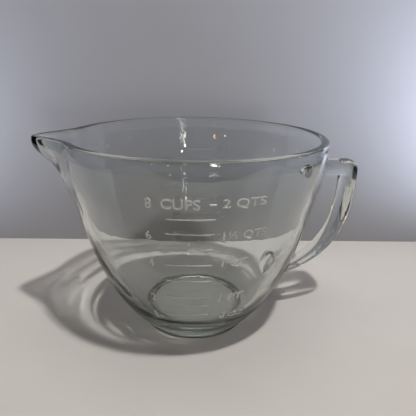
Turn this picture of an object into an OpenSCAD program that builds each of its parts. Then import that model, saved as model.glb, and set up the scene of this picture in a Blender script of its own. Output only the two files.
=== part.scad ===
// Pressed glass measuring bowl with a beak spout, a strap handle and raised measuring marks.
// The bowl turns about Z and stands on z = 0. The handle points to +X and the spout to -X.
// One pressing of glass, drawn as regions that meet face to face.

/* [Bowl] */
// Height over the rim
bowl_h = 148; // [135:1:165]
// Outer radius of the rim
rim_r = 95.4; // [92:0.2:102]
// Wall thickness
wall_t = 4.6; // [3.5:0.1:6.5]
// Height of the shoulder, where the wall begins to stand up
shoulder_h = 92; // [80:1:104]
// How far the wall at the shoulder lies inside the rim's outer radius
shoulder_inset = 9.4; // [6:0.2:14]
// Lean of the wall away from upright at the shoulder, in degrees
shoulder_lean = 11.8; // [6:0.2:16]
// Pull of the shoulder's direction on the curve above it
upper_pull = 18.7; // [12:0.1:24]
// Pull of the upright rim on the curve below it
rim_pull = 24.7; // [14:0.1:30]
// Pull of the shoulder's direction on the curve below it
lower_pull = 35; // [24:0.5:44]
// How far the point that pulls the heel outwards lies outside the foot ring
heel_pull_out = 23.4; // [18:0.2:28]
// Height of the point that pulls the heel outwards
heel_pull_h = 23.9; // [18:0.1:30]

/* [Base] */
// Outer radius of the foot ring
foot_r = 42.3; // [38:0.1:48]
// Height of the upright side of the foot ring
foot_h = 2.6; // [1.5:0.1:4]
// Rounding of the foot ring's outer edge
foot_round = 0.8; // [0.3:0.1:1.2]
// Width of the ring that the bowl stands on
foot_w = 3; // [2:0.1:5]
// Depth of the hollow under the base
recess_d = 1.4; // [0.6:0.1:2.5]
// Width of the sloped step from the foot ring up to the hollow
recess_step = 3.4; // [1.5:0.1:6]
// Height at which the inner curve starts on the axis side, from the standing plane
floor_t = 9; // [6:0.1:11]
// Radius of the flat middle of the floor
floor_flat_r = 29; // [20:0.5:36]
// Length of the floor's pull on the curve up into the wall
floor_pull = 24; // [20:0.5:34]
// Height at which the base meets the wall
base_h = 20; // [14:1:24]
// Height of the flat floor, which fills the bottom of that curve
floor_level_h = 11.5; // [9:0.1:13]

/* [Rim] */
// Thickness of the rim
rim_t = 6; // [4.5:0.1:8]
// Height of the rim's thickened band
rim_band_h = 7; // [5:0.2:12]
// Height of the rim's crown, the rounded top
crown_h = 2.4; // [1.5:0.1:4]
// Squareness of the crown: 2 is an ellipse, more is flatter on top
crown_square = 2.8; // [2:0.1:4]

/* [Spout] */
// Reach of the beak past the rim, without the trough
beak_reach = 15.5; // [8:0.5:22]
// Extra thickness of the glass at the beak's tip
beak_tip_t = 1.5; // [0:0.1:3]
// Height over which the beak swells out, down from the rim
beak_h = 26; // [18:0.5:34]
// Depth of the full beak below the rim
beak_lip_h = 5; // [3:0.5:8]
// Rise of the beak's inner floor over its outer one
beak_floor_rise = 3; // [1:0.5:5]
// Depth of the trough pressed into the wall under the beak
trough_d = 4.5; // [2:0.5:7]
// Height of the trough's lower end
trough_low_h = 75; // [66:1:84]
// Height up to which the trough keeps growing
trough_full_h = 122; // [112:1:128]
// Half the spout's width, as an angle about the bowl's axis
spout_half_angle = 24; // [20:0.5:30]
// Roundness of the beak's tip, as an angle about the bowl's axis
tip_round_angle = 4; // [2:0.5:6]
// Sharpness of the beak: more draws its sides in
beak_sharpness = 2.7; // [2:0.1:4]

/* [Handle] */
// Reach of the handle's outermost face past the rim
handle_out = 33.3; // [24:0.1:40]
// Drop from the top of the rim to the top of the handle
handle_drop = 21.5; // [16:0.1:30]
// Thickness of the arm that leaves the bowl
arm_t = 12.2; // [8:0.1:14]
// Thickness of the strap under the corner
strap_t = 11.6; // [7:0.1:13]
// Width of the arm and the strap
strap_w = 18.5; // [14:0.5:26]
// Rounding of the upper corner, on its outside
corner_out_r = 6.7; // [3:0.1:10]
// Rounding of the upper corner, on its inside
corner_in_r = 1.5; // [1:0.1:4]
// Lean of the strap towards the bowl under the corner, in degrees
strap_lean = -2.9; // [-6:0.1:8]
// Pull of that direction on the strap's outer and inner curves
out_top_pull = 55; // [30:0.5:65]
in_top_pull = 48.8; // [25:0.1:60]
// Rise of the strap away from the bowl at its lower end, in degrees
strap_rise = 14.5; // [5:0.5:30]
// Pull of that direction on the strap's outer and inner curves
out_low_pull = 45.7; // [25:0.1:60]
in_low_pull = 32.5; // [20:0.5:50]
// Heights at which the strap's outer and inner curves meet the wall
strap_out_h = 27.9; // [24:0.1:32]
strap_in_h = 35.2; // [32.5:0.1:40]
// Length of wall below the strap that its lower root fills
root_drop = 3; // [1:0.5:6]
// Height up to which the lower root fills the angle between strap and wall
root_top_h = 50; // [42:0.5:56]
// Share of the strap's curves that is left before the lower root begins
root_start_share = 0.84; // [0.7:0.02:0.92]
// Growth of the width and of the thickness where a root joins the wall
root_flare_w = 4.5; // [1:0.5:8]
root_flare_t = 2.5; // [0:0.5:6]
// Length of arm and of strap over which the roots flare
root_flare_l = 12; // [6:0.5:18]

/* [Scale] */
// Height of the top mark, which reads 8 cups
top_mark_h = 123.8; // [118:0.2:128]
// Relief of the marks
mark_relief = 0.5; // [0.3:0.1:0.9]
// Height of each mark
mark_t = 1; // [0.6:0.1:1.6]
// Length of a long mark, along the wall
long_mark_l = 28; // [20:0.5:34]
// Length of a short mark, along the wall
short_mark_l = 15; // [8:0.5:20]
// Length of the dash between the top row's two readings
dash_l = 4.2; // [3:0.1:8]
// Gap from the middle of the scale to the nearer end of the long marks
mark_inset = 0.6; // [0:0.1:3]

/* [Hidden] */
$fn = 120;

glass = [0.78, 0.86, 0.84, 0.45];
heavy_glass = [0.62, 0.76, 0.72, 0.55];

// Overrun of a cut past the solid it cuts
cut_over = 2;
// Number of straight steps in each curve of the profile
curve_steps = 14;
// Height of one step of the wall where it is cut into stations
station_h = 3;
// Steps across the spout, round the crown, along the handle and round the strap
spout_steps = 32;
crown_steps = 10;
arm_steps = 6;
corner_steps = 7;
strap_steps = 20;
root_steps = 6;
strap_sides = 24;
// Depth of the handle's roots inside the wall, before they are cut off at its outer face
root_depth = 3;
// Depth inside the wall at which the curve of a root ends
root_seat = 0.2;
// Squareness of the strap's section
strap_square = 3;
// Power that shapes the trough from its lower end up
trough_power = 1.65;
// Steps of the rounded edge under the foot ring
foot_edge_steps = 3;
// Share of the marks' relief that is left at their edges, and of their height that is flat
mark_edge_share = 0.6;
mark_flat_share = 0.4;
// Cups at the top of the scale, and the readings that have a long and a short mark
scale_cups = 8;
long_marks_cups = [1, 2, 3, 4, 6, 7];
short_marks_cups = [1.5, 5];
// Litres in a cup, and the readings of the metric scale
cup_litres = 0.2366;
metric_marks_litres = [0.25, 0.5, 0.75, 1, 1.25, 1.5, 1.75];
// Angles about Z of the two scales' middle lines
cup_scale_angle = 270;
metric_scale_angle = 90;

function bezier(p, t) =
    pow(1 - t, 3) * p[0] + 3 * pow(1 - t, 2) * t * p[1] + 3 * (1 - t) * t * t * p[2] + pow(t, 3) * p[3];
function curve(p, steps) = [for (i = [0 : steps]) bezier(p, i / steps)];
function mix(a, b, share) = a + (b - a) * share;
function clamp(x) = max(0, min(1, x));
function ease(x) = let (c = clamp(x)) c * c * (3 - 2 * c);
function unit(v) = v / norm(v);
function swap(p) = [p[1], p[0]];

// Directions in the plane of the profile, as [radius, height]
lean_dir = [sin(shoulder_lean), cos(shoulder_lean)];
inward_dir = [-cos(shoulder_lean), sin(shoulder_lean)];
rim_band_low = bowl_h - rim_band_h;
crown_low = bowl_h - crown_h;

// Outer and inner outline of the wall, from the base up, as [radius, height]
shoulder = [rim_r - shoulder_inset, shoulder_h];
shoulder_in = shoulder + wall_t * inward_dir;
outer_low = [[foot_r, foot_h], [foot_r + heel_pull_out, heel_pull_h], shoulder - lower_pull * lean_dir, shoulder];
outer_high = [shoulder, shoulder + upper_pull * lean_dir, [rim_r, rim_band_low - rim_pull],
    [rim_r, rim_band_low]];
inner_low = [[floor_flat_r, floor_t], [floor_flat_r + floor_pull, floor_t],
    shoulder_in - lower_pull * lean_dir, shoulder_in];
inner_high = [shoulder_in, shoulder_in + upper_pull * lean_dir,
    [rim_r - wall_t, rim_band_low - rim_pull], [rim_r - wall_t, rim_band_low]];

function joined(low, high) = concat(curve(low, curve_steps), [for (i = [1 : curve_steps])
    bezier(high, i / curve_steps)]);
outer_line = joined(outer_low, outer_high);
inner_line = joined(inner_low, inner_high);
outer_table = concat([for (p = outer_line) swap(p)], [[crown_low, rim_r]]);
inner_table = concat([for (p = inner_line) swap(p)], [[crown_low, rim_r - rim_t]]);

function outer_r(z) = lookup(z, outer_table);
function inner_r(z) = lookup(z, inner_table);

// Heights at which the wall is cut into stations, from one height to another
function stations(low, high) = let (n = ceil((high - low) / station_h))
    [for (i = [0 : n]) mix(low, high, i / n)];

// Closed outline of the wall between two heights
function wall_outline(low, high) = let (zs = stations(low, high))
    concat([for (z = zs) [outer_r(z), z]], [for (i = [len(zs) - 1 : -1 : 0]) [inner_r(zs[i]), zs[i]]]);

// The rim's rounded top, from outside to inside, between two radii
function crown(out_r, in_r) = let (half = (out_r - in_r) / 2, power = 2 / crown_square)
    [for (i = [1 : crown_steps - 1]) let (a = 180 * i / crown_steps)
        [(out_r + in_r) / 2 + half * sign(cos(a)) * pow(abs(cos(a)), power),
            crown_low + crown_h * pow(sin(a), power)]];

// Share of the beak and of the trough at an angle from the middle of the spout
function rounded_angle(a) = spout_half_angle * (sqrt(a * a + pow(tip_round_angle, 2)) - tip_round_angle)
    / (sqrt(pow(spout_half_angle, 2) + pow(tip_round_angle, 2)) - tip_round_angle);
function beak_share(a) = pow(clamp(1 - rounded_angle(a) / spout_half_angle), beak_sharpness);
function trough_share(a) = pow(cos(90 * a / spout_half_angle), 2);
// Share of each at a height
function beak_rise(z) = ease((z - (bowl_h - beak_h)) / (beak_h - beak_lip_h));
function trough_rise(z) = pow(clamp((z - trough_low_h) / (trough_full_h - trough_low_h)), trough_power);

// How far the spout stands out from the round wall, on the outside and on the inside
function swell_out(a, z) = beak_reach * beak_share(a) * beak_rise(z)
    + trough_d * trough_share(a) * trough_rise(z);
function swell_in(a, z) = (beak_reach - beak_tip_t) * beak_share(a) * beak_rise(z - beak_floor_rise)
    + trough_d * trough_share(a) * trough_rise(z);

// Closed outline of the spout's glass at an angle from its middle
function spout_outline(a) = let (zs = stations(trough_low_h, crown_low))
    concat([for (z = zs) [outer_r(z) + swell_out(a, z), z]],
        crown(rim_r + swell_out(a, crown_low), rim_r - rim_t + swell_in(a, crown_low)),
        [for (i = [len(zs) - 1 : -1 : 0]) [inner_r(zs[i]) + swell_in(a, zs[i]), zs[i]]]);

// Points of an outline stood up at an angle about Z
function stood(outline, angle) = [for (p = outline) [p[0] * cos(angle), p[0] * sin(angle), p[1]]];

// A closed solid through rings of equal length, the first and the last as its end faces
module loft(rings) {
    n = len(rings[0]);
    last = (len(rings) - 1) * n;
    polyhedron(
        points = [for (ring = rings) each ring],
        faces = concat(
            [[for (j = [0 : n - 1]) j]],
            [[for (j = [n - 1 : -1 : 0]) last + j]],
            [for (i = [0 : len(rings) - 2], j = [0 : n - 1], upper = [true, false])
                let (k = (j + 1) % n, a = i * n + j, b = i * n + k, c = a + n, d = b + n)
                upper ? [a, c, b] : [b, c, d]]),
        convexity = 6);
}

// The wedge that the spout takes up, from a height upwards
module spout_wedge(low) {
    reach = 2 * rim_r;
    translate([0, 0, low]) linear_extrude(2 * bowl_h) polygon([
        [0, 0],
        reach * [-cos(spout_half_angle), sin(spout_half_angle)],
        [-reach, 0],
        reach * [-cos(spout_half_angle), -sin(spout_half_angle)]]);
}

// The wall between two heights, open where the spout is
module wall_part(low, high) {
    color(glass) difference() {
        rotate_extrude() polygon(wall_outline(low, high));
        spout_wedge(trough_low_h);
    }
}

// From the base to the shoulder line, where the side's curve breaks
module lower_wall() {
    wall_part(base_h, shoulder_h);
}

module upper_wall() {
    wall_part(shoulder_h, rim_band_low);
}

module rim() {
    color(heavy_glass) difference() {
        rotate_extrude() polygon(concat(
            [[rim_r, rim_band_low]],
            [[rim_r, crown_low]],
            crown(rim_r, rim_r - rim_t),
            [[rim_r - rim_t, crown_low]],
            [[inner_r(rim_band_low), rim_band_low]]));
        spout_wedge(rim_band_low - cut_over);
    }
}

module base() {
    outer_steps = [for (z = stations(foot_h, base_h)) [outer_r(z), z]];
    inner_steps = [for (z = stations(floor_level_h, base_h)) [inner_r(z), z]];
    foot_edge = [for (i = [0 : foot_edge_steps]) let (a = 90 * i / foot_edge_steps)
        [foot_r - foot_round + foot_round * sin(a), foot_round - foot_round * cos(a)]];
    color(heavy_glass) rotate_extrude() polygon(concat(
        [[0, recess_d], [foot_r - foot_round - foot_w - recess_step, recess_d]],
        [[foot_r - foot_round - foot_w, 0]],
        foot_edge,
        outer_steps,
        [for (i = [len(inner_steps) - 1 : -1 : 0]) inner_steps[i]],
        [[0, floor_level_h]]));
}

module pouring_spout() {
    color(glass) loft([for (i = [spout_steps : -1 : 0])
        let (a = mix(-spout_half_angle, spout_half_angle, i / spout_steps))
        stood(spout_outline(a), 180 + a)]);
}

// The arm's upper or lower edge, as [radius, height], from inside the wall to the corner
arm_in_r = rim_r - wall_t;
function arm_edge(end, h, flare_t) = [for (i = [0 : arm_steps - 1]) let (r = mix(arm_in_r, end, i / arm_steps))
    [r, h + flare_t * root_share(r - outer_r(h))]];
// One edge of the corner
function corner_edge(centre, r) = [for (i = [0 : corner_steps - 1]) let (a = (90 + strap_lean) * i / corner_steps)
    centre + r * [sin(a), cos(a)]];
// One edge of the strap, from the corner down and round into the wall
function strap_edge(start, top_pull, low_pull, wall_h, root_h) = let (
    at_wall = [outer_r(wall_h), wall_h],
    root_end = [outer_r(root_h) - root_seat, root_h],
    pulls = [start, start - top_pull * [sin(strap_lean), cos(strap_lean)],
        at_wall + low_pull * [cos(strap_rise), sin(strap_rise)], at_wall],
    root_begin = bezier(pulls, root_start_share))
    concat(
        [for (i = [0 : strap_steps]) bezier(pulls, root_start_share * i / strap_steps)],
        [for (i = [1 : root_steps]) arc_through(root_begin, at_wall, root_end, i / root_steps)],
        [root_end - [root_depth, 0]]);
// The curve that rounds off the corner b between a and c
function arc_through(a, b, c, t) = mix(mix(a, b, t), mix(b, c, t), t);
// Share of a root's flare at a distance from the wall
function root_share(d) = pow(clamp(1 - max(0, d) / root_flare_l), 2);

handle_reach = rim_r + handle_out;
handle_top_h = bowl_h - handle_drop;
corner_out = [handle_reach - corner_out_r, handle_top_h - corner_out_r];
corner_in = [handle_reach - strap_t - corner_in_r, handle_top_h - arm_t - corner_in_r];
strap_across = [cos(strap_lean), -sin(strap_lean)];
out_edge = concat(
    arm_edge(corner_out[0], handle_top_h, root_flare_t / 2),
    corner_edge(corner_out, corner_out_r),
    strap_edge(corner_out + corner_out_r * strap_across, out_top_pull, out_low_pull, strap_out_h,
        strap_out_h - root_drop));
in_edge = concat(
    arm_edge(corner_in[0], handle_top_h - arm_t, -root_flare_t),
    corner_edge(corner_in, corner_in_r),
    strap_edge(corner_in + corner_in_r * strap_across, in_top_pull, in_low_pull, strap_in_h, root_top_h));

// One ring of the handle: a rounded oblong between its two edges
function strap_ring(i) = let (
    middle = (out_edge[i] + in_edge[i]) / 2,
    half_t = (out_edge[i] - in_edge[i]) / 2,
    half_w = strap_w / 2 + root_flare_w * root_share(middle[0] - outer_r(middle[1])),
    power = 2 / strap_square)
    [for (j = [0 : strap_sides - 1]) let (
        a = 360 * j / strap_sides,
        across = half_w * sign(sin(a)) * pow(abs(sin(a)), power),
        p = middle + half_t * sign(cos(a)) * pow(abs(cos(a)), power))
        [p[0], across, p[1]]];

module strap() {
    loft([for (i = [0 : len(out_edge) - 1]) strap_ring(i)]);
}

// Everything inside the bowl's outer face, as one round solid
module round_body() {
    rotate_extrude() polygon(concat(
        [[0, base_h]],
        [for (z = stations(base_h, rim_band_low)) [outer_r(z), z]],
        [[0, rim_band_low]]));
}

module handle() {
    color(glass) difference() {
        strap();
        round_body();
    }
}

// Volume inside the bowl from the floor up to each step of height, as [height, volume]
fill_steps = 60;
fill_heights = [for (i = [0 : fill_steps]) mix(floor_level_h, crown_low, i / fill_steps)];
function slice(i) = let (low = fill_heights[i - 1], high = fill_heights[i],
    r = inner_r((low + high) / 2)) PI * r * r * (high - low);
function filled(i) = i == 0 ? 0 : filled(i - 1) + slice(i);
volumes = [for (i = [0 : fill_steps]) filled(i)];
volume_table = [for (i = [0 : fill_steps]) [volumes[i], fill_heights[i]]];
height_table = [for (i = [0 : fill_steps]) [fill_heights[i], volumes[i]]];
full_volume = lookup(top_mark_h, height_table);
// Height of the surface when the bowl holds a share of what it holds at the top mark
function level(share) = lookup(share * full_volume, volume_table);

// One raised mark on the outside of the wall, from one angle about Z to another
module mark(z, from, to) {
    low = z - mark_t / 2;
    high = z + mark_t / 2;
    flat = mark_flat_share * mark_t / 2;
    rotate([0, 0, from]) rotate_extrude(angle = to - from) polygon([
        [outer_r(low), low],
        [outer_r(low) + mark_edge_share * mark_relief, low],
        [outer_r(z) + mark_relief, z - flat],
        [outer_r(z) + mark_relief, z + flat],
        [outer_r(high) + mark_edge_share * mark_relief, high],
        [outer_r(high), high]]);
}

// A mark of a length along the wall, that ends a distance short of an angle
module mark_beside(z, angle, inset, length) {
    per_mm = 360 / (2 * PI * outer_r(z));
    mark(z, angle - (inset + length) * per_mm, angle - inset * per_mm);
}

module cup_scale() {
    color(heavy_glass) {
        mark_beside(top_mark_h, cup_scale_angle, mark_inset, dash_l);
        for (cups = long_marks_cups)
            mark_beside(level(cups / scale_cups), cup_scale_angle, mark_inset, long_mark_l);
        for (cups = short_marks_cups)
            mark_beside(level(cups / scale_cups), cup_scale_angle, mark_inset, short_mark_l);
    }
}

module metric_scale() {
    color(heavy_glass) for (litres = metric_marks_litres)
        mark_beside(level(litres / (scale_cups * cup_litres)), metric_scale_angle, mark_inset, long_mark_l);
}

lower_wall();
upper_wall();
base();
rim();
pouring_spout();
handle();
cup_scale();
metric_scale();
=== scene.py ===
"""Pressed-glass measuring bowl with a beak spout, a strap handle and raised scales."""

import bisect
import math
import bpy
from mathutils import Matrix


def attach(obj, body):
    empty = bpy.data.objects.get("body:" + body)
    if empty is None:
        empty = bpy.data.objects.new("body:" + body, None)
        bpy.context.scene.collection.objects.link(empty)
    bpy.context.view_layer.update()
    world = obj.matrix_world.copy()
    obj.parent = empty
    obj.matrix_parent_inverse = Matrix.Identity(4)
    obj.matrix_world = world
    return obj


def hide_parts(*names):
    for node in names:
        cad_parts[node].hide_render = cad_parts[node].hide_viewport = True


bl_info = {
    "name": "Pressed-glass measuring bowl",
    "version": (1, 0, 0),
    "blender": (4, 5, 0),
    "location": "3D View > Sidebar > Measuring bowl",
    "description": "Makes a clear pressed-glass measuring bowl, its raised scales and its stage",
    "category": "Add Mesh",
}

import bmesh
import bpy
from mathutils import Matrix, Vector

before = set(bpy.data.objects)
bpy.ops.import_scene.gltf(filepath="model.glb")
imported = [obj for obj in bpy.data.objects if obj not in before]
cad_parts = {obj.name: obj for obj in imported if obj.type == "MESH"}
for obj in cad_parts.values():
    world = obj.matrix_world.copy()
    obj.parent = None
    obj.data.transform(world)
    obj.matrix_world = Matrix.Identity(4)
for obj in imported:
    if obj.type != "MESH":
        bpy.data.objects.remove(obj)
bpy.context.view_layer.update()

MM = 0.001
BODY = "root"


# Curves that the wall and the handle are drawn with, in millimetres

def mix(a, b, t):
    return a + (b - a) * t


def pair(a, b, t):
    return (mix(a[0], b[0], t), mix(a[1], b[1], t))


def along(p, d, length):
    return (p[0] + d[0] * length, p[1] + d[1] * length)


def bezier(p, t):
    a, b, c = pair(p[0], p[1], t), pair(p[1], p[2], t), pair(p[2], p[3], t)
    return pair(pair(a, b, t), pair(b, c, t), t)


def arc_through(a, b, c, t):
    return pair(pair(a, b, t), pair(b, c, t), t)


def clamp(x):
    return max(0.0, min(1.0, x))


def facing(degrees):
    a = math.radians(degrees)
    return (math.sin(a), math.cos(a))


def look_up(table, x):
    i = min(max(bisect.bisect_left([row[0] for row in table], x), 1), len(table) - 1)
    (x0, y0), (x1, y1) = table[i - 1], table[i]
    return mix(y0, y1, clamp((x - x0) / (x1 - x0)) if x1 > x0 else 0)


# The wall's own sizes, in millimetres, as the CAD has them. A pull is the length of a curve's
# tangent

BOWL_H, RIM_R, WALL_T, RIM_T = 148.0, 95.4, 4.6, 6.0
CROWN_H, CROWN_SQUARE, RIM_BAND_H = 2.4, 2.8, 7.0
SHOULDER, SHOULDER_LEAN = (86.0, 92.0), 11.8
UPPER_PULL, RIM_PULL, LOWER_PULL = 18.7, 24.7, 35.0
HEEL_PULL = (65.7, 23.9)
FOOT_R, FOOT_H, FOOT_ROUND, FOOT_W = 42.3, 2.6, 0.8, 3.0
RECESS_D, RECESS_STEP = 1.4, 3.4
FLOOR_T, FLOOR_FLAT_R, FLOOR_PULL = 9.0, 29.0, 24.0
FLOOR_LEVEL_H = 11.5
CROWN_LOW = BOWL_H - CROWN_H
RIM_BAND_LOW = BOWL_H - RIM_BAND_H
# Where the section has its points, in millimetres: rings of the recess and the last one's
# distance from the step, distances below the foot's top and above the floor, and the floor's
# rings inwards from its edge. Then the steps of each of the wall's curves and of the crown
RECESS_RINGS, BEFORE_STEP = (12, 22, 28), 1.5
BELOW_FOOT_TOP, ABOVE_FLOOR = 0.7, 0.6
FLOOR_RINGS = (0.7, 1.5, 2.5, 4, 8, 16, 28)
CURVE_STEPS, CROWN_STEPS = 34, 18
# Points of the section that are left sharp at its two ends, and rounds of softening between
SOFT_FROM, SOFT_LEFT, SOFT_ROUNDS = 12, 3, 2

# The spout: roundness of the beak's tip as a share of half its width, sharpness of the beak,
# depth of the full beak below the rim, and rise of its inner floor over its outer one
TIP_ROUND, BEAK_SHARPNESS, BEAK_LIP_H, BEAK_FLOOR_RISE = 4 / 24, 2.7, 5.0, 3.0
# The trough: its lower end, the height up to which it grows, and how it grows
TROUGH_LOW_H, TROUGH_FULL_H, TROUGH_POWER = 75.0, 122.0, 1.65

lean_dir = facing(SHOULDER_LEAN)
lean_in = (math.cos(math.radians(SHOULDER_LEAN)), -math.sin(math.radians(SHOULDER_LEAN)))
shoulder_in = along(SHOULDER, lean_in, -WALL_T)


def wall_curves(steps):
    """The wall's outer and inner lines from the foot and the floor up to the rim."""
    def run(*curves):
        line = [bezier(curves[0], 0)]
        for c in curves:
            line += [bezier(c, (i + 1) / steps) for i in range(steps)]
        return line
    outer = run(
        [(FOOT_R, FOOT_H), HEEL_PULL, along(SHOULDER, lean_dir, -LOWER_PULL), SHOULDER],
        [SHOULDER, along(SHOULDER, lean_dir, UPPER_PULL), (RIM_R, RIM_BAND_LOW - RIM_PULL),
         (RIM_R, RIM_BAND_LOW)])
    edge = RIM_R - WALL_T
    inner = run(
        [(FLOOR_FLAT_R, FLOOR_T), (FLOOR_FLAT_R + FLOOR_PULL, FLOOR_T),
         along(shoulder_in, lean_dir, -LOWER_PULL), shoulder_in],
        [shoulder_in, along(shoulder_in, lean_dir, UPPER_PULL), (edge, RIM_BAND_LOW - RIM_PULL),
         (edge, RIM_BAND_LOW)])
    return outer, inner


outer_fine, inner_fine = wall_curves(120)
OUTER_TABLE = [(z, r) for r, z in outer_fine] + [(CROWN_LOW, RIM_R)]
INNER_TABLE = [(z, r) for r, z in inner_fine] + [(CROWN_LOW, RIM_R - RIM_T)]


def outer_r(z):
    return look_up(OUTER_TABLE, z)


def inner_r(z):
    return look_up(INNER_TABLE, z)


def wall_section(steps):
    """The bowl's half section from the axis underneath, up the outside, over the rim and
    down the inside to the axis, as (radius, height, side). Side is 1 outside and 0 inside."""
    outer, inner = wall_curves(steps)
    foot_edge = FOOT_R - FOOT_ROUND
    step_r = foot_edge - FOOT_W - RECESS_STEP
    under = [(r, RECESS_D) for r in (0, *RECESS_RINGS, step_r - BEFORE_STEP)]
    a, b = (step_r, RECESS_D), (foot_edge - FOOT_W, 0)
    under += [pair(a, b, t) for t in (0, 0.25, 0.5, 0.75)]
    under += [pair(b, (foot_edge, 0), t) for t in (0.15, 0.5, 1)]
    for t in (22, 45, 67, 90):
        a = math.radians(t)
        under.append((foot_edge + FOOT_ROUND * math.sin(a), FOOT_ROUND - FOOT_ROUND * math.cos(a)))
    under.append((FOOT_R, FOOT_H - BELOW_FOOT_TOP))
    rim_out, rim_in = RIM_R, RIM_R - RIM_T
    middle, half, power = (rim_out + rim_in) / 2, RIM_T / 2, 2 / CROWN_SQUARE
    crown = []
    for i in range(CROWN_STEPS + 1):
        t = math.pi * i / CROWN_STEPS
        c = math.copysign(abs(math.cos(t)) ** power, math.cos(t))
        crown.append((middle + half * c, CROWN_LOW + CROWN_H * abs(math.sin(t)) ** power, (c + 1) / 2))
    band = [(RIM_R, mix(RIM_BAND_LOW, CROWN_LOW, t), 1) for t in (0.35, 0.7)]
    band_in = [(mix(RIM_R - RIM_T, RIM_R - WALL_T, t), mix(CROWN_LOW, RIM_BAND_LOW, t), 0)
               for t in (0.35, 0.7)]
    edge_r = inner_r(FLOOR_LEVEL_H)
    inner = [(edge_r, FLOOR_LEVEL_H)] + [(r, z) for r, z in inner if z > FLOOR_LEVEL_H + ABOVE_FLOOR]
    floor = [(edge_r - d, FLOOR_LEVEL_H, 0) for d in FLOOR_RINGS]
    floor.append((0, FLOOR_LEVEL_H, 0))
    return ([(r, z, 1) for r, z in under] + [(r, z, 1) for r, z in outer] + band + crown + band_in
            + [(r, z, 0) for r, z in reversed(inner)] + floor)


def soften(line, start, end, rounds):
    """Rounds a line's corners between two places by moving points to their neighbours' middle."""
    line = [list(p) for p in line]
    for _ in range(rounds):
        new = [list(p) for p in line]
        for i in range(start, end):
            for k in (0, 1):
                new[i][k] = 0.25 * line[i - 1][k] + 0.5 * line[i][k] + 0.25 * line[i + 1][k]
        line = new
    return line


# Handle: a flat strap, fanned out where it melts into the wall

HANDLE_REACH, HANDLE_TOP_H = 128.7, 126.5
ARM_T, STRAP_T, STRAP_W = 12.2, 11.6, 18.5
CORNER_OUT_R, CORNER_IN_R, STRAP_LEAN = 6.7, 1.5, -2.9
OUT_PULLS, IN_PULLS, STRAP_RISE = (55.0, 45.7), (48.8, 32.5), 14.5
STRAP_OUT_H, STRAP_IN_H = 27.9, 35.2
ROOT_DROP, ROOT_TOP_H, ROOT_START = 3.0, 50.0, 0.84
ROOT_FLARE_W, ROOT_FLARE_T, ROOT_FLARE_L, ROOT_DEPTH = 4.5, 2.5, 12.0, 3.0
# The arm starts this far outside the wall's inner face
ARM_START = 1.2
# Squareness of the strap and of its lower root, the share of its steps from which the one turns
# into the other, and the share over which it does
STRAP_SQUARE, ROOT_SQUARE, ROUNDER_FROM, ROUNDER_OVER = 3.0, 2.0, 0.6, 0.2
# Steps along the arm, the corner, the strap and the lower root, and round the strap
ARM_STEPS, CORNER_STEPS, STRAP_STEPS, ROOT_STEPS, STRAP_SIDES = 10, 10, 56, 12, 40


def root_share(distance):
    return clamp(1 - max(0.0, distance) / ROOT_FLARE_L) ** 2


def strap_edges(arm_steps, corner_steps, strap_steps, root_steps):
    """The strap's outer and inner edge lines, seen from the side."""
    across = (math.cos(math.radians(STRAP_LEAN)), -math.sin(math.radians(STRAP_LEAN)))
    down = facing(STRAP_LEAN)
    rise = math.radians(STRAP_RISE)
    edges = []
    for corner_r, reach, top, flare, pulls, wall_h, root_h in (
            (CORNER_OUT_R, HANDLE_REACH, HANDLE_TOP_H, ROOT_FLARE_T / 2, OUT_PULLS, STRAP_OUT_H,
             STRAP_OUT_H - ROOT_DROP),
            (CORNER_IN_R, HANDLE_REACH - STRAP_T, HANDLE_TOP_H - ARM_T, -ROOT_FLARE_T, IN_PULLS,
             STRAP_IN_H, ROOT_TOP_H)):
        centre = (reach - corner_r, top - corner_r)
        line = []
        for i in range(arm_steps):
            r = mix(RIM_R - WALL_T + ARM_START, centre[0], i / arm_steps)
            line.append((r, top + flare * root_share(r - outer_r(top))))
        for i in range(corner_steps):
            a = math.radians((90 + STRAP_LEAN) * i / corner_steps)
            line.append((centre[0] + corner_r * math.sin(a), centre[1] + corner_r * math.cos(a)))
        start = along(centre, across, corner_r)
        at_wall, root_end = (outer_r(wall_h), wall_h), (outer_r(root_h), root_h)
        p = [start, along(start, down, -pulls[0]),
             along(at_wall, (math.cos(rise), math.sin(rise)), pulls[1]), at_wall]
        line += [bezier(p, ROOT_START * i / strap_steps) for i in range(strap_steps + 1)]
        begin = bezier(p, ROOT_START)
        line += [arc_through(begin, at_wall, root_end, i / root_steps) for i in range(1, root_steps + 1)]
        line.append((root_end[0] - ROOT_DEPTH, root_end[1]))
        edges.append(line)
    return edges


def strap_rings(sides):
    """Rings of points round the strap, from the arm's root to the lower root, which is rounder."""
    lines = list(zip(*strap_edges(ARM_STEPS, CORNER_STEPS, STRAP_STEPS, ROOT_STEPS)))
    rings = []
    for n, (out, inn) in enumerate(lines):
        power = 2 / mix(STRAP_SQUARE, ROOT_SQUARE, clamp((n / len(lines) - ROUNDER_FROM) / ROUNDER_OVER))
        middle = pair(out, inn, 0.5)
        half = ((out[0] - inn[0]) / 2, (out[1] - inn[1]) / 2)
        half_w = STRAP_W / 2 + ROOT_FLARE_W * root_share(middle[0] - outer_r(middle[1]))
        ring = []
        for k in range(sides):
            t = 2 * math.pi * k / sides
            c = math.copysign(abs(math.cos(t)) ** power, math.cos(t))
            s = math.copysign(abs(math.sin(t)) ** power, math.sin(t))
            ring.append((middle[0] + half[0] * c, half_w * s, middle[1] + half[1] * c))
        rings.append(ring)
    return rings


# Helpers for objects, nodes and colours

def srgb(code, alpha=1.0):
    """An sRGB hex value as a linear colour."""
    parts = [int(code[i:i + 2], 16) / 255 for i in (1, 3, 5)]
    return [c / 12.92 if c <= 0.04045 else ((c + 0.055) / 1.055) ** 2.4 for c in parts] + [alpha]


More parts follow.
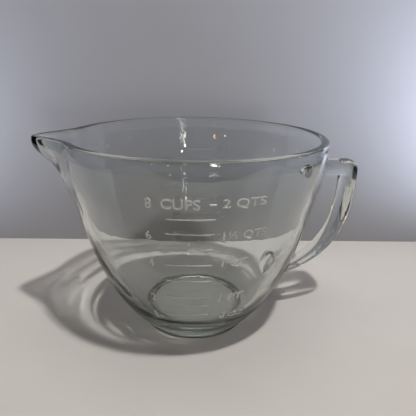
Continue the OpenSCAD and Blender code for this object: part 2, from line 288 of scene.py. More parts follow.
def add(tree, kind, links=None, **settings):
    """Adds a node, sets its settings, and links or fills its inputs. A link is a node, whose
    first output is taken, or a (node, output) pair."""
    node = tree.nodes.new(kind)
    for name, value in settings.items():
        setattr(node, name, value)
    for name, value in (links or {}).items():
        if isinstance(value, bpy.types.Node):
            tree.links.new(value.outputs[0], node.inputs[name])
        elif isinstance(value, tuple) and value and isinstance(value[0], bpy.types.Node):
            tree.links.new(value[0].outputs[value[1]], node.inputs[name])
        else:
            node.inputs[name].default_value = value
    return node


def put_in_scene(name, mesh):
    obj = bpy.data.objects.new(name, mesh)
    bpy.context.scene.collection.objects.link(obj)
    return obj


def solved_mesh(obj, name):
    """A plain mesh of an object as its modifiers leave it."""
    graph = bpy.context.evaluated_depsgraph_get()
    graph.update()
    mesh = bpy.data.meshes.new_from_object(obj.evaluated_get(graph), depsgraph=graph)
    mesh.name = name
    return mesh


def drop(obj):
    data = obj.data
    bpy.data.objects.remove(obj)
    if isinstance(data, bpy.types.Mesh):
        bpy.data.meshes.remove(data)


def face_outwards(mesh):
    bm = bmesh.new()
    bm.from_mesh(mesh)
    bmesh.ops.remove_doubles(bm, verts=bm.verts, dist=1e-6)
    bmesh.ops.recalc_face_normals(bm, faces=bm.faces)
    bm.to_mesh(mesh)
    bm.free()


def smooth_below(mesh, degrees):
    """Smooth shading that keeps edges sharper than an angle."""
    mesh.shade_smooth()
    mesh.set_sharp_from_angle(angle=math.radians(degrees))


def give(mesh, material):
    mesh.materials.clear()
    mesh.materials.append(material)


# Materials

def clear_pressed_glass(settings):
    """Soda-lime glass, pressed in a polished mould and fire-polished. To the eye: clear, with
    a faint green-grey where it is thick, and long soft ripples from the mould that bend what
    is seen through it."""
    material = bpy.data.materials.new("clear pressed soda-lime glass")
    material.use_nodes = True
    tree = material.node_tree
    tree.nodes.clear()
    place = add(tree, "ShaderNodeTexCoord")
    # Mould ripple, about 14 mm from wave to wave
    ripple = add(tree, "ShaderNodeTexNoise", {
        "Vector": (place, "Object"), "Scale": 1 / 0.014, "Detail": 1.0, "Roughness": 0.4})
    # Fire-polish skin, about 3.5 mm from wave to wave
    skin = add(tree, "ShaderNodeTexNoise", {
        "Vector": (place, "Object"), "Scale": 1 / 0.0035, "Detail": 0.0})
    low = add(tree, "ShaderNodeBump", {"Height": (ripple, 0), "Strength": 0.30, "Distance": 0.0003})
    high = add(tree, "ShaderNodeBump", {
        "Height": (skin, 0), "Strength": 0.10, "Distance": 0.0001, "Normal": (low, 0)})
    surface = add(tree, "ShaderNodeBsdfPrincipled", {
        "Base Color": srgb("#fbfdfc"), "Roughness": 0.01, "IOR": 1.5, "Transmission Weight": 1.0,
        "Normal": (high, 0)})
    inside = add(tree, "ShaderNodeVolumeAbsorption", {
        "Color": srgb("#c4d2cb"), "Density": settings.glass_density})
    add(tree, "ShaderNodeOutputMaterial", {"Surface": (surface, 0), "Volume": (inside, 0)})
    return material


def marks_glass():
    """The same glass on the near scale's marks, where the mould was engraved and left matt. To
    the eye: faintly milky, so figures and lines stand out paler than the clear wall."""
    material = bpy.data.materials.new("soda-lime glass, matt from an engraved mould")
    material.use_nodes = True
    tree = material.node_tree
    tree.nodes.clear()
    surface = add(tree, "ShaderNodeBsdfPrincipled", {
        "Base Color": srgb("#f1f3f1"), "Roughness": 0.25, "IOR": 1.5, "Transmission Weight": 0.62})
    add(tree, "ShaderNodeOutputMaterial", {"Surface": (surface, 0)})
    return material


def painted_surface(name, colour, mottle, spacing, one_sided=False):
    """A plain matt stage surface with a very faint mottle. A one-sided one isn't seen from
    behind."""
    material = bpy.data.materials.new(name)
    material.use_nodes = True
    tree = material.node_tree
    tree.nodes.clear()
    place = add(tree, "ShaderNodeTexCoord")
    cloud = add(tree, "ShaderNodeTexNoise", {
        "Vector": (place, "Object"), "Scale": 1 / spacing, "Detail": 3.0})
    tone = add(tree, "ShaderNodeMix", {0: (cloud, 0), 6: srgb(colour), 7: srgb(mottle)}, data_type="RGBA")
    surface = add(tree, "ShaderNodeBsdfPrincipled", {
        "Base Color": (tone, 2), "Roughness": 0.6, "Specular IOR Level": 0.2})
    last = surface
    if one_sided:
        side = add(tree, "ShaderNodeNewGeometry")
        clear = add(tree, "ShaderNodeBsdfTransparent")
        last = add(tree, "ShaderNodeMixShader", {0: (side, "Backfacing"), 1: (surface, 0), 2: (clear, 0)})
    add(tree, "ShaderNodeOutputMaterial", {"Surface": (last, 0)})
    return material


# Sizes and colours that a user would change

class BowlSettings(bpy.types.PropertyGroup):
    columns: bpy.props.IntProperty(
        name="Columns", description="Steps round the bowl", default=320, min=32, max=720)
    beak_reach: bpy.props.FloatProperty(
        name="Beak reach", description="How far the spout's tip stands out past the rim",
        default=15.5 * MM, min=0, unit="LENGTH")
    beak_tip: bpy.props.FloatProperty(
        name="Tip thickness lost", description="How much thinner the glass is at the tip",
        default=1.5 * MM, min=0, unit="LENGTH")
    beak_height: bpy.props.FloatProperty(
        name="Beak height", description="Height over which the beak grows out of the wall",
        default=26 * MM, min=0.001, unit="LENGTH")
    trough_depth: bpy.props.FloatProperty(
        name="Trough depth", description="How far the broad trough under the beak swells out",
        default=4.5 * MM, min=0, unit="LENGTH")
    spout_half_angle: bpy.props.FloatProperty(
        name="Spout half angle", description="Angle from the spout's middle to where it ends",
        default=math.radians(24), min=0.1, subtype="ANGLE")
    glass_density: bpy.props.FloatProperty(
        name="Glass tint density", description="How strongly thick glass is tinted",
        default=13.0, min=0)


class ScaleSettings(bpy.types.PropertyGroup):
    mark_height: bpy.props.FloatProperty(
        name="Line width", description="Height of a raised line on the wall",
        default=1.0 * MM, min=0.0001, unit="LENGTH")
    mark_relief: bpy.props.FloatProperty(
        name="Relief", description="How far lines and figures stand out of the wall",
        default=0.5 * MM, min=0.0001, unit="LENGTH")
    figure_height: bpy.props.FloatProperty(
        name="Figure height", description="Height of the capital letters of the scales",
        default=6.4 * MM, min=0.001, unit="LENGTH")


class StageSettings(bpy.types.PropertyGroup):
    key_power: bpy.props.FloatProperty(
        name="Key light power", description="Power of the small lamp that casts the shadow",
        default=15.0, min=0, unit="POWER")
    fill_power: bpy.props.FloatProperty(
        name="Fill light power", description="Power of the soft lamp overhead",
        default=4.4, min=0, unit="POWER")
    small_power: bpy.props.FloatProperty(
        name="Small lamps power", description="Power of the fan of small lamps together",
        default=5.0, min=0, unit="POWER")
    wash_power: bpy.props.FloatProperty(
        name="Wall wash power", description="Power of the lamps beside the backdrop together",
        default=2.2, min=0, unit="POWER")
    world_level: bpy.props.FloatProperty(
        name="World level", description="Strength of the even light from all round",
        default=0.025, min=0)


# Geometry Nodes trees

def bowl_tree(material, section_points):
    """Turns a half section into the whole bowl and swells its spout out of the wall."""
    tree = bpy.data.node_groups.new("turned bowl with a beak spout", "GeometryNodeTree")
    face = tree.interface
    face.new_socket("Section", in_out="INPUT", socket_type="NodeSocketGeometry")
    given = add(tree, "NodeGroupInput")
    # Values by name, which the sums below take up and add to
    known = {}
    for name, kind in (("Columns", "Int"), ("Beak reach", "Float"), ("Tip thickness lost", "Float"),
                       ("Beak height", "Float"), ("Trough depth", "Float"), ("Spout half angle", "Float")):
        face.new_socket(name, in_out="INPUT", socket_type="NodeSocket" + kind)
        known[name] = (given, name)
    face.new_socket("Bowl", in_out="OUTPUT", socket_type="NodeSocketGeometry")
    across = add(tree, "FunctionNodeIntegerMath", {0: known["Columns"], 1: 1}, operation="ADD")
    grid = add(tree, "GeometryNodeMeshGrid", {"Vertices X": section_points, "Vertices Y": (across, 0)})
    known["across"] = across
    known["index"] = add(tree, "GeometryNodeInputIndex")
    # Row and column of a point, and the angle of its column. Columns stand closest together at
    # the spout, where the wall bends most
    for name, operation, *inputs in (
            ("index_up", "ADD", "index", 0.5), ("row_share", "DIVIDE", "index_up", "across"),
            ("row", "FLOOR", "row_share"), ("before", "MULTIPLY", "row", "across"),
            ("column", "SUBTRACT", "index", "before"), ("column_share", "DIVIDE", "column", "Columns"),
            ("doubled", "MULTIPLY", "column_share", 2.0), ("u", "SUBTRACT", "doubled", 1.0),
            ("square", "MULTIPLY", "u", "u"), ("cube", "MULTIPLY", "square", "u"),
            ("cube_part", "MULTIPLY", "cube", 0.4), ("eased", "MULTIPLY_ADD", "u", 0.6, "cube_part"),
            ("turn", "MULTIPLY", "eased", math.pi)):
        known[name] = add(tree, "ShaderNodeMath", dict(enumerate(known.get(v, v) for v in inputs)),
                          operation=operation)
    place = add(tree, "GeometryNodeInputPosition")
    there = add(tree, "GeometryNodeSampleIndex", {
        "Geometry": (given, "Section"), "Value": (place, 0), "Index": known["row"]},
        data_type="FLOAT_VECTOR", domain="POINT")
    parts = add(tree, "ShaderNodeSeparateXYZ", {0: (there, 0)})
    known.update(radius_there=(parts, "X"), side=(parts, "Y"), height=(parts, "Z"))
    # How far the beak and the trough reach at this angle, and the heights over which they grow
    tip = TIP_ROUND
    for name, operation, *inputs in (
            ("angle", "ABSOLUTE", "turn"), ("ratio", "DIVIDE", "angle", "Spout half angle"),
            ("share", "MINIMUM", "ratio", 1.0), ("share_squared", "MULTIPLY", "share", "share"),
            ("with_tip", "ADD", "share_squared", tip * tip), ("root", "SQRT", "with_tip"),
            ("past_tip", "SUBTRACT", "root", tip),
            ("rounded", "DIVIDE", "past_tip", math.sqrt(1 + tip * tip) - tip),
            ("left", "SUBTRACT", 1.0, "rounded"), ("beak_share", "POWER", "left", BEAK_SHARPNESS),
            ("quarter", "MULTIPLY", "share", math.pi / 2), ("fall", "COSINE", "quarter"),
            ("trough_share", "POWER", "fall", 2.0),
            ("beak_low", "SUBTRACT", BOWL_H * MM, "Beak height"),
            ("span", "SUBTRACT", "Beak height", BEAK_LIP_H * MM), ("beak_high", "ADD", "beak_low", "span"),
            ("height_in", "SUBTRACT", "height", BEAK_FLOOR_RISE * MM)):
        known[name] = add(tree, "ShaderNodeMath", dict(enumerate(known.get(v, v) for v in inputs)),
                          operation=operation)
    for name, height in (("rise_out", "height"), ("rise_in", "height_in")):
        known[name] = add(tree, "ShaderNodeMapRange", {
            "Value": known[height], "From Min": known["beak_low"], "From Max": known["beak_high"]},
            interpolation_type="SMOOTHSTEP")
    known["up_trough"] = add(tree, "ShaderNodeMapRange", {
        "Value": known["height"], "From Min": TROUGH_LOW_H * MM, "From Max": TROUGH_FULL_H * MM})
    # How far this point is carried outwards, and where that puts it
    for name, operation, *inputs in (
            ("trough_rise", "POWER", "up_trough", TROUGH_POWER),
            ("trough_here", "MULTIPLY", "Trough depth", "trough_share"),
            ("trough", "MULTIPLY", "trough_here", "trough_rise"),
            ("reach_in", "SUBTRACT", "Beak reach", "Tip thickness lost"),
            ("out_here", "MULTIPLY", "Beak reach", "beak_share"),
            ("out", "MULTIPLY", "out_here", "rise_out"),
            ("in_here", "MULTIPLY", "reach_in", "beak_share"), ("inn", "MULTIPLY", "in_here", "rise_in"),
            ("between", "SUBTRACT", "out", "inn"), ("beak", "MULTIPLY_ADD", "between", "side", "inn"),
            ("swell", "ADD", "beak", "trough"), ("swollen", "ADD", "radius_there", "swell"),
            ("radius", "MAXIMUM", "swollen", 0.0), ("cosine", "COSINE", "turn"), ("sine", "SINE", "turn"),
            ("forward", "MULTIPLY", "radius", "cosine"), ("x", "MULTIPLY", "forward", -1.0),
            ("y", "MULTIPLY", "radius", "sine")):
        known[name] = add(tree, "ShaderNodeMath", dict(enumerate(known.get(v, v) for v in inputs)),
                          operation=operation)
    where = add(tree, "ShaderNodeCombineXYZ", {"X": known["x"], "Y": known["y"], "Z": known["height"]})
    turned = add(tree, "GeometryNodeSetPosition", {"Geometry": (grid, "Mesh"), "Position": (where, 0)})
    closed = add(tree, "GeometryNodeMergeByDistance", {"Geometry": (turned, 0), "Distance": 0.002 * MM})
    real = add(tree, "GeometryNodeRealizeInstances", {"Geometry": (closed, 0)})
    dressed = add(tree, "GeometryNodeSetMaterial", {"Geometry": (real, 0), "Material": material})
    add(tree, "NodeGroupOutput", {"Bowl": (dressed, 0)})
    return tree


def lines_tree(material):
    """Lays a raised bar on the wall at each given point. A point carries the line's wall
    radius, lean, first angle and sweep."""
    tree = bpy.data.node_groups.new("raised lines on a round wall", "GeometryNodeTree")
    face = tree.interface
    face.new_socket("Places", in_out="INPUT", socket_type="NodeSocketGeometry")
    for name in ("Line width", "Relief", "Sink"):
        face.new_socket(name, in_out="INPUT", socket_type="NodeSocketFloat")
    face.new_socket("Lines", in_out="OUTPUT", socket_type="NodeSocketGeometry")
    given = add(tree, "NodeGroupInput")
    known = {"Line width": (given, "Line width"), "Relief": (given, "Relief"), "Sink": (given, "Sink")}
    for name in ("wall_radius", "lean", "height", "first_angle", "sweep"):
        known[name] = add(tree, "GeometryNodeInputNamedAttribute", {"Name": name}, data_type="FLOAT")
    bar = add(tree, "GeometryNodeMeshCube", {
        "Size": (1, 1, 1), "Vertices X": 25, "Vertices Y": 3, "Vertices Z": 5})
    laid = add(tree, "GeometryNodeInstanceOnPoints", {"Points": (given, "Places"), "Instance": (bar, 0)})
    real = add(tree, "GeometryNodeRealizeInstances", {"Geometry": (laid, 0)})
    place = add(tree, "GeometryNodeInputPosition")
    parts = add(tree, "ShaderNodeSeparateXYZ", {0: (place, 0)})
    known.update(x=(parts, "X"), y=(parts, "Y"), z=(parts, "Z"))
    # The bar is round-shouldered: its top is narrower and its two ends slope down
    for name, operation, *inputs in (
            ("share", "ADD", "x", 0.5), ("outward", "ADD", "y", 0.5),
            ("z_size", "ABSOLUTE", "z"), ("z_share", "MULTIPLY", "z_size", 2.0),
            ("z_fall", "POWER", "z_share", LINE_SHOULDER), ("crest", "SUBTRACT", 1.0, "z_fall"),
            ("x_size", "ABSOLUTE", "x"), ("x_share", "MULTIPLY", "x_size", 2.0),
            ("x_fall", "POWER", "x_share", LINE_END), ("end", "SUBTRACT", 1.0, "x_fall"),
            ("form", "MULTIPLY", "crest", "end"),
            ("form_share", "MULTIPLY_ADD", "form", 1 - LINE_EDGE_SHARE, LINE_EDGE_SHARE),
            ("relief", "MULTIPLY", "Relief", "form_share"), ("depth", "ADD", "relief", "Sink"),
            ("from_sink", "MULTIPLY", "outward", "depth"), ("out", "SUBTRACT", "from_sink", "Sink"),
            ("high", "MULTIPLY", "z", "Line width"), ("r_out", "ADD", "wall_radius", "out"),
            ("leant", "MULTIPLY", "high", "lean"), ("radius", "ADD", "r_out", "leant"),
            ("angle", "MULTIPLY_ADD", "share", "sweep", "first_angle"),
            ("cosine", "COSINE", "angle"), ("sine", "SINE", "angle"),
            ("to_x", "MULTIPLY", "radius", "cosine"), ("to_y", "MULTIPLY", "radius", "sine"),
            ("to_z", "ADD", "high", "height")):
        known[name] = add(tree, "ShaderNodeMath", dict(enumerate(known.get(v, v) for v in inputs)),
                          operation=operation)
    where = add(tree, "ShaderNodeCombineXYZ", {"X": known["to_x"], "Y": known["to_y"], "Z": known["to_z"]})
    bent = add(tree, "GeometryNodeSetPosition", {"Geometry": (real, 0), "Position": (where, 0)})
    dressed = add(tree, "GeometryNodeSetMaterial", {"Geometry": (bent, 0), "Material": material})
    add(tree, "NodeGroupOutput", {"Lines": (dressed, 0)})
    return tree


def run_tree(obj, tree, values):
    """Sets a tree's named inputs on an object's modifier and returns the solved mesh."""
    modifier = obj.modifiers.new("shape", "NODES")
    modifier.node_group = tree
    for item in tree.interface.items_tree:
        if item.item_type == "SOCKET" and item.in_out == "INPUT" and item.name in values:
            modifier[item.identifier] = values[item.name]
    mesh = solved_mesh(obj, obj.name + " solved")
    obj.modifiers.remove(modifier)
    return mesh


# Scales

def fill_level_table():
    """Volume inside the wall up to each height, in cubic millimetres."""
    table, total, last = [(0.0, FLOOR_LEVEL_H)], 0.0, FLOOR_LEVEL_H
    steps = 400
    for i in range(1, steps + 1):
        z = mix(FLOOR_LEVEL_H, CROWN_LOW, i / steps)
        r = inner_r((z + last) / 2)
        total += math.pi * r * r * (z - last)
        table.append((total, z))
        last = z
    return table


FILL = fill_level_table()
TOP_MARK_H = 123.8
SCALE_CUPS, CUP_LITRES = 8, 0.2366
LONG_MARK, SHORT_MARK, DASH, MARK_INSET = 28.0, 15.0, 4.2, -0.6
MARK_SINK = 0.25
# The far scale stands out less than the near one
METRIC_RELIEF_SHARE = 0.45
# A line's shoulders and ends, as powers, and the share of its relief that is left at its edges
LINE_SHOULDER, LINE_END, LINE_EDGE_SHARE = 3.0, 24.0, 0.4


def mark_height_at(share):
    """Height of the mark that holds a share of the eight cups."""
    volumes = [(z, v) for v, z in FILL]
    full = look_up(volumes, TOP_MARK_H)
    return look_up(FILL, full * share)


def mark_places():
    """(scale, height, end, length) of every line, in millimetres. The end is where the line stops
    short of the scale's middle, along the wall."""
    rows = [("cup", TOP_MARK_H, MARK_INSET, DASH)]
    for cups, length in ((1, LONG_MARK), (2, LONG_MARK), (3, LONG_MARK), (4, LONG_MARK), (6, LONG_MARK),
                         (7, LONG_MARK), (1.5, SHORT_MARK), (5, SHORT_MARK)):
        rows.append(("cup", mark_height_at(cups / SCALE_CUPS), MARK_INSET, length))
    for litres in (0.25, 0.5, 0.75, 1, 1.25, 1.5, 1.75):
        share = litres / (SCALE_CUPS * CUP_LITRES)
        rows.append(("metric", mark_height_at(share), MARK_INSET, LONG_MARK))
    return rows


MIDDLE = {"cup": math.radians(270), "metric": math.radians(90)}

# Words of the cup scale: text, left edge and right edge in millimetres along the wall, and height
CUP_WORDS = [
    ("8", -40.7, -37.1, 123.9), ("CUPS", -31.7, -9.7, 123.9), ("2 QTS", 2.6, 29.1, 123.9),
    ("6", -40.8, -37.4, 102.4), ("1½ QTS", 4.4, 32.6, 102.4),
    ("4", -39.6, -36.0, 82.6), ("1 QT", 5.4, 21.9, 82.6),
    ("2", -38.4, -34.9, 53.2), ("1 PT", 5.7, 22.1, 53.9),
    ("1", -36.4, -34.6, 34.6), ("8 OZ", 8.2, 26.6, 34.6)]
# The metric scale's figures with their widths, from the lowest mark up, and its unit words with
# the mark that they stand at, counted from 0, and their right edge
METRIC_FIGURES = [("250", 8.8), ("500", 8.8), ("750", 8.8), ("1", 1.6), ("1.25", 10.4), ("1.5", 7.4),
                  ("1.75", 10.4)]
METRIC_UNITS = [("ML", 0, 14.5), ("ML", 1, 14.5), ("ML", 2, 14.5), ("LITER", 3, 25.0), ("LITERS", 5, 30.0)]
METRIC_FIGURES_RIGHT, METRIC_UNITS_LEFT = -32.0, 5.0


def letters_on_wall(words, scale, size, relief, sink):
    """Raised letters as one mesh, bent round the wall and leaning with it."""
    bm = bmesh.new()
    for text, left, right, middle_h in words:
        # A thin slab with rounded edges, which is brought to its width, height and relief below
        curve = bpy.data.curves.new("letters", "FONT")
        curve.body = text
        curve.size = 1.0
        curve.resolution_u = 6
        curve.extrude = 0.02
        curve.bevel_depth = 0.012
        curve.bevel_resolution = 1
        curve.offset = 0.004
        obj = put_in_scene("letters", curve)
        flat = solved_mesh(obj, "letters")
        bpy.data.objects.remove(obj)
        bpy.data.curves.remove(curve)
        xs = [v.co.x for v in flat.vertices]
        ys = [v.co.y for v in flat.vertices]
        zs = [v.co.z for v in flat.vertices]
        tall = max(ys) - min(ys)
        wide = max(xs) - min(xs)
        for v in flat.vertices:
            arc = left + (v.co.x - min(xs)) / wide * (right - left)
            z = middle_h + ((v.co.y - min(ys)) / tall - 0.5) * size
            share = (v.co.z - min(zs)) / (max(zs) - min(zs))
            r = outer_r(z) + mix(-sink, relief, share)
            a = MIDDLE[scale] + arc / outer_r(middle_h)
            v.co = Vector((r * math.cos(a), r * math.sin(a), z)) * MM
        bm.from_mesh(flat)
        bpy.data.meshes.remove(flat)
    bmesh.ops.triangulate(bm, faces=[f for f in bm.faces if len(f.verts) > 4])
    bmesh.ops.remove_doubles(bm, verts=bm.verts, dist=1e-6)
    bmesh.ops.recalc_face_normals(bm, faces=bm.faces)
    mesh = bpy.data.meshes.new("letters on the " + scale + " scale")
    bm.to_mesh(mesh)
    bm.free()
    return mesh


def lines_on_wall(scale, settings, material, relief_share=1.0):
    """Raised lines of one scale as one mesh."""
    rows = [m for m in mark_places() if m[0] == scale]
    points = bpy.data.meshes.new("line places")
    points.from_pydata([(0, 0, 0)] * len(rows), [], [])
    values = {"wall_radius": [], "lean": [], "height": [], "first_angle": [], "sweep": []}
    for _, z, inset, length in rows:
        r = outer_r(z)
        values["wall_radius"].append(r * MM)
        values["lean"].append((outer_r(z + 0.5) - outer_r(z - 0.5)))
        values["height"].append(z * MM)
        values["first_angle"].append(MIDDLE[scale] + (inset - length) / r)
        values["sweep"].append(length / r)
    for name, numbers in values.items():
        points.attributes.new(name, "FLOAT", "POINT").data.foreach_set("value", numbers)
    obj = put_in_scene("line places", points)
    mesh = run_tree(obj, lines_tree(material), {
        "Line width": settings.mark_height, "Relief": settings.mark_relief * relief_share,
        "Sink": MARK_SINK * MM})
    drop(obj)
    for name in list(values):
        if name in mesh.attributes:
            mesh.attributes.remove(mesh.attributes[name])
    face_outwards(mesh)
    return mesh


def glass_material():
    found = bpy.data.materials.get("clear pressed soda-lime glass")
    return found or clear_pressed_glass(bpy.context.scene.bowl_settings)


def marks_material():
    return bpy.data.materials.get("soda-lime glass, matt from an engraved mould") or marks_glass()


# Operators

class MakeGlassBody(bpy.types.Operator):
    """Bowl, base, rim, spout and handle as the one pressing that they are"""
    bl_idname = "measuring_bowl.glass_body"
    bl_label = "Make the glass body"

    def execute(self, context):
        settings = context.scene.bowl_settings
        glass = glass_material()
        section = wall_section(CURVE_STEPS)
        # Its corners are a little softer than the CAD's
        section = soften(section, SOFT_FROM, len(section) - SOFT_LEFT, SOFT_ROUNDS)
        points = bpy.data.meshes.new("half section")
        points.from_pydata([(r * MM, side, z * MM) for r, z, side in section], [], [])
        holder = put_in_scene("half section", points)
        bowl = put_in_scene("turned bowl", run_tree(holder, bowl_tree(glass, len(section)), {
            "Columns": settings.columns, "Beak reach": settings.beak_reach,
            "Tip thickness lost": settings.beak_tip, "Beak height": settings.beak_height,
            "Trough depth": settings.trough_depth, "Spout half angle": settings.spout_half_angle}))
        drop(holder)
        face_outwards(bowl.data)
        handle = put_in_scene("strap", self.strap_mesh())
        give(handle.data, glass)
        join = bowl.modifiers.new("melt the handle on", "BOOLEAN")
        join.operation = "UNION"
        join.solver = "MANIFOLD"
        join.object = handle
        mesh = solved_mesh(bowl, "glass body")
        drop(handle)
        drop(bowl)
        face_outwards(mesh)
        smooth_below(mesh, 38)
        give(mesh, glass)
        body = put_in_scene("glass_body", mesh)
        body.cycles.is_caustics_caster = True
        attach(body, BODY)
        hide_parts("lower_wall", "upper_wall", "base", "rim", "pouring_spout", "handle")
        return {"FINISHED"}

    def strap_mesh(self):
        rings = strap_rings(STRAP_SIDES)
        count = len(rings[0])
        points = [Vector(p) * MM for ring in rings for p in ring]
        faces = [tuple(range(count - 1, -1, -1)), tuple(range(len(points) - count, len(points)))]
        for i in range(len(rings) - 1):
            for k in range(count):
                n = (k + 1) % count
                faces.append((i * count + k, i * count + n, (i + 1) * count + n, (i + 1) * count + k))
        mesh = bpy.data.meshes.new("strap")
        mesh.from_pydata(points, [], faces)
        face_outwards(mesh)
        return mesh


class MakeCupScale(bpy.types.Operator):
    """Raised lines, figures and unit words of the cup scale on the near wall"""
    bl_idname = "measuring_bowl.cup_scale"
    bl_label = "Make the cup scale"

    def execute(self, context):
        settings = context.scene.scale_settings
        glass = marks_material()
        lines = put_in_scene("cup_scale_lines", lines_on_wall("cup", settings, glass))
        words = put_in_scene("cup_scale_figures", letters_on_wall(
            CUP_WORDS, "cup", settings.figure_height / MM, settings.mark_relief / MM, MARK_SINK))
        finish_scale((lines, words), glass, "cup_scale")
        return {"FINISHED"}


class MakeMetricScale(bpy.types.Operator):
    """Raised lines and figures of the metric scale on the far wall"""
    bl_idname = "measuring_bowl.metric_scale"
    bl_label = "Make the metric scale"

    def execute(self, context):
        settings = context.scene.scale_settings
        glass = glass_material()
        lines = put_in_scene("metric_scale_lines", lines_on_wall(
            "metric", settings, glass, METRIC_RELIEF_SHARE))
        rows = [m[1] for m in mark_places() if m[0] == "metric"]
        words = [(text, METRIC_FIGURES_RIGHT - wide, METRIC_FIGURES_RIGHT, z)
                 for (text, wide), z in zip(METRIC_FIGURES, rows)]
        words += [(text, METRIC_UNITS_LEFT, right, rows[n]) for text, n, right in METRIC_UNITS]
        figures = put_in_scene("metric_scale_figures", letters_on_wall(
            words, "metric", settings.figure_height / MM,
            settings.mark_relief * METRIC_RELIEF_SHARE / MM, MARK_SINK))
        finish_scale((lines, figures), glass, "metric_scale")
        return {"FINISHED"}


def finish_scale(pieces, glass, node):
    """Shades the pieces of one scale and puts them on the body, in place of the scale's node."""
    for piece in pieces:
        smooth_below(piece.data, 40)
        give(piece.data, glass)
        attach(piece, BODY)
    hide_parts(node)


# The floor's half width, which is how far back it goes too, and its front edge, in metres
FLOOR_HALF, FLOOR_FRONT = 0.6, -0.5
# The backdrop's foot line in millimetres, and in metres how far it runs on past the line's ends
# and how high it is
BACKDROP_LEFT, BACKDROP_RIGHT = (-204.5, 175.3, 0), (276.5, 108.6, 0)
BACKDROP_MORE_LEFT, BACKDROP_MORE_RIGHT, BACKDROP_H = 0.04, 0.02, 0.34
# How far the fan of small lamps stands from the bowl's middle, in metres
FAN_R = 1.05
# The photograph's camera: place in millimetres, heading, tilt and roll, and focal length as a
# share of the square picture's side
CAMERA_PLACE = (-41.05, -311.8, 198.4)
CAMERA_HEADING, CAMERA_TILT, CAMERA_ROLL = math.radians(80.71), 0.3324, 0.0181
FOCAL_SHARE, SENSOR_W = 427.3 / 416, 36.0


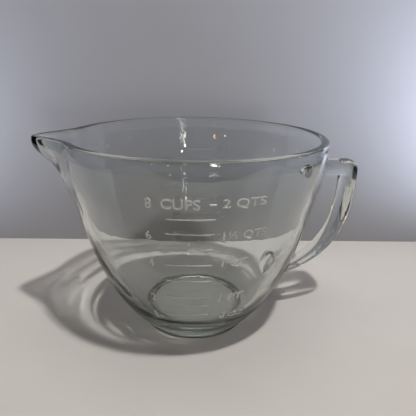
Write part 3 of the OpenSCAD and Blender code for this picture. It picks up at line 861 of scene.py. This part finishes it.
class MakeStage(bpy.types.Operator):
    """Pale floor, plain backdrop, soft lamps and the camera"""
    bl_idname = "measuring_bowl.stage"
    bl_label = "Make the stage"

    def execute(self, context):
        scene = context.scene
        settings = scene.stage_settings
        self.surfaces()
        self.lamps(scene, settings)
        self.camera(scene)
        view = scene.view_settings
        view.view_transform = "Standard"
        return {"FINISHED"}

    def surfaces(self):
        floor = bpy.data.meshes.new("floor")
        # No larger than it has to be: past its edges the dark room draws the glass's outlines
        w = FLOOR_HALF
        floor.from_pydata([(-w, FLOOR_FRONT, 0), (w, FLOOR_FRONT, 0), (w, w, 0), (-w, w, 0)], [],
                          [(0, 1, 2, 3)])
        give(floor, painted_surface("matt laminate worktop", "#c8c6c4", "#c1bfbd", 0.05))
        ground = put_in_scene("stage_floor", floor)
        ground.cycles.is_caustics_receiver = True
        a, b = Vector(BACKDROP_LEFT) * MM, Vector(BACKDROP_RIGHT) * MM
        d = (b - a).normalized()
        # Hardly wider than the picture, for the same reason
        a, b = a - d * BACKDROP_MORE_LEFT, b + d * BACKDROP_MORE_RIGHT
        up = Vector((0, 0, BACKDROP_H))
        wall = bpy.data.meshes.new("backdrop")
        wall.from_pydata([a, b, b + up, a + up], [], [(0, 1, 2, 3)])
        give(wall, painted_surface("matt wall paint", "#8c8d92", "#88898d", 0.08, one_sided=True))
        put_in_scene("stage_backdrop", wall)

    def lamps(self, scene, settings):
        def lamp(name, place, target, size, power, colour):
            data = bpy.data.lights.new(name, "AREA")
            data.shape = "RECTANGLE"
            data.size, data.size_y = size
            data.energy = power
            data.color = srgb(colour)[:3]
            obj = bpy.data.objects.new(name, data)
            scene.collection.objects.link(obj)
            obj.location = place
            obj.rotation_euler = (Vector(target) - Vector(place)).to_track_quat("-Z", "Y").to_euler()
            return obj
        key = lamp("key softbox", (0.218, -0.48, 1.41), (0, 0, 0.05), (0.07, 0.07), settings.key_power,
                   "#fffaf4")
        key.data.cycles.is_caustics_light = True
        fill = lamp("overhead fill", (0, 0, 1.3), (0, 0, 0), (0.7, 0.7), settings.fill_power, "#fff8f2")
        fill.visible_glossy = False
        # A low fan of small lamps gives the broken bright column down the far inside wall, and
        # three warm ones the fainter columns beside it. Each has its angle above the floor, its
        # angle round the bowl and its width in millimetres
        spots = ((2, 277, 30), (4, 280, 22), (5, 274, 36), (6.5, 278, 26), (8, 275.5, 40), (9, 279.5, 22),
                 (11, 276, 34), (14, 278, 28), (18, 275, 36), (24, 279, 26), (32, 276, 40), (41, 274, 25),
                 (52, 277, 36), (66, 276, 30), (7, 243, 26), (9.5, 242, 20), (6, 230, 20))
        tints = ("#ffffff", "#ffdfb6", "#ffffff", "#fff0dc", "#ffffff")
        whole = sum(size * size for _, _, size in spots)
        for i, (up, across, size) in enumerate(spots):
            a, b = math.radians(up), math.radians(across)
            place = Vector((math.cos(b) * math.cos(a), math.sin(b) * math.cos(a), math.sin(a))) * FAN_R
            tint = "#ffc98a" if across < 260 else tints[i % len(tints)]
            spark = lamp("small lamp %d" % (i + 1), place, (0, 0, 0.06), (size * MM, size * 1.5 * MM),
                         settings.small_power * size * size / whole, tint)
            # They are there for their reflections. The low ones are seen through the near wall too,
            # and the lowest light the raised marks
            spark.visible_diffuse = up < 10
            spark.visible_transmission = up < 20
        # Two lamps beside the backdrop light its right and, less, its left
        for name, place, target, share in (
                ("right wall wash", (0.48, -0.03, 0.03), (0.34, 0.10, 0.15), 0.75),
                ("left wall wash", (-0.44, 0.04, 0.03), (-0.28, 0.185, 0.14), 0.25)):
            wash = lamp(name, place, target, (0.12, 0.12), settings.wash_power * share, "#e6edff")
            wash.data.spread = math.radians(76)
            wash.visible_glossy = wash.visible_transmission = False
        world = bpy.data.worlds.new("even studio light")
        world.use_nodes = True
        tree = world.node_tree
        tree.nodes.clear()
        even = add(tree, "ShaderNodeBackground", {
            "Color": srgb("#dfe4ec"), "Strength": settings.world_level})
        add(tree, "ShaderNodeOutputWorld", {"Surface": (even, 0)})
        scene.world = world

    def camera(self, scene):
        heading, tilt, roll = CAMERA_HEADING, CAMERA_TILT, CAMERA_ROLL
        forward = Vector((math.cos(heading) * math.cos(tilt), math.sin(heading) * math.cos(tilt),
                          -math.sin(tilt)))
        right = forward.cross(Vector((0, 0, 1))).normalized()
        down = forward.cross(right).normalized()
        x = math.cos(roll) * right - math.sin(roll) * down
        y = -(math.sin(roll) * right + math.cos(roll) * down)
        turned = Matrix((x, y, -forward)).transposed().to_4x4()
        turned.translation = Vector(CAMERA_PLACE) * MM
        data = bpy.data.cameras.new("photo camera")
        data.sensor_width = SENSOR_W
        data.lens = FOCAL_SHARE * SENSOR_W
        data.clip_start = 0.01
        obj = bpy.data.objects.new("photo camera", data)
        scene.collection.objects.link(obj)
        obj.matrix_world = turned
        scene.camera = obj


class MeasuringBowlPanel(bpy.types.Panel):
    """Lists what makes the measuring bowl"""
    bl_idname = "VIEW3D_PT_measuring_bowl"
    bl_label = "Measuring bowl"
    bl_space_type = "VIEW_3D"
    bl_region_type = "UI"
    bl_category = "Measuring bowl"

    def draw(self, context):
        for group, operators in (
                (context.scene.bowl_settings, (MakeGlassBody,)),
                (context.scene.scale_settings, (MakeCupScale, MakeMetricScale)),
                (context.scene.stage_settings, (MakeStage,))):
            box = self.layout.box()
            for name in group.bl_rna.properties.keys():
                if name not in ("rna_type", "name"):
                    box.prop(group, name)
            for operator in operators:
                box.operator(operator.bl_idname)


CLASSES = (BowlSettings, ScaleSettings, StageSettings, MakeGlassBody, MakeCupScale,
           MakeMetricScale, MakeStage, MeasuringBowlPanel)


def register():
    for c in CLASSES:
        bpy.utils.register_class(c)
    bpy.types.Scene.bowl_settings = bpy.props.PointerProperty(type=BowlSettings)
    bpy.types.Scene.scale_settings = bpy.props.PointerProperty(type=ScaleSettings)
    bpy.types.Scene.stage_settings = bpy.props.PointerProperty(type=StageSettings)


def unregister():
    del bpy.types.Scene.stage_settings
    del bpy.types.Scene.scale_settings
    del bpy.types.Scene.bowl_settings
    for c in reversed(CLASSES):
        bpy.utils.unregister_class(c)


def main():
    register()
    bpy.ops.measuring_bowl.stage()
    bpy.ops.measuring_bowl.glass_body()
    bpy.ops.measuring_bowl.cup_scale()
    bpy.ops.measuring_bowl.metric_scale()


if __name__ == "__main__":
    main()
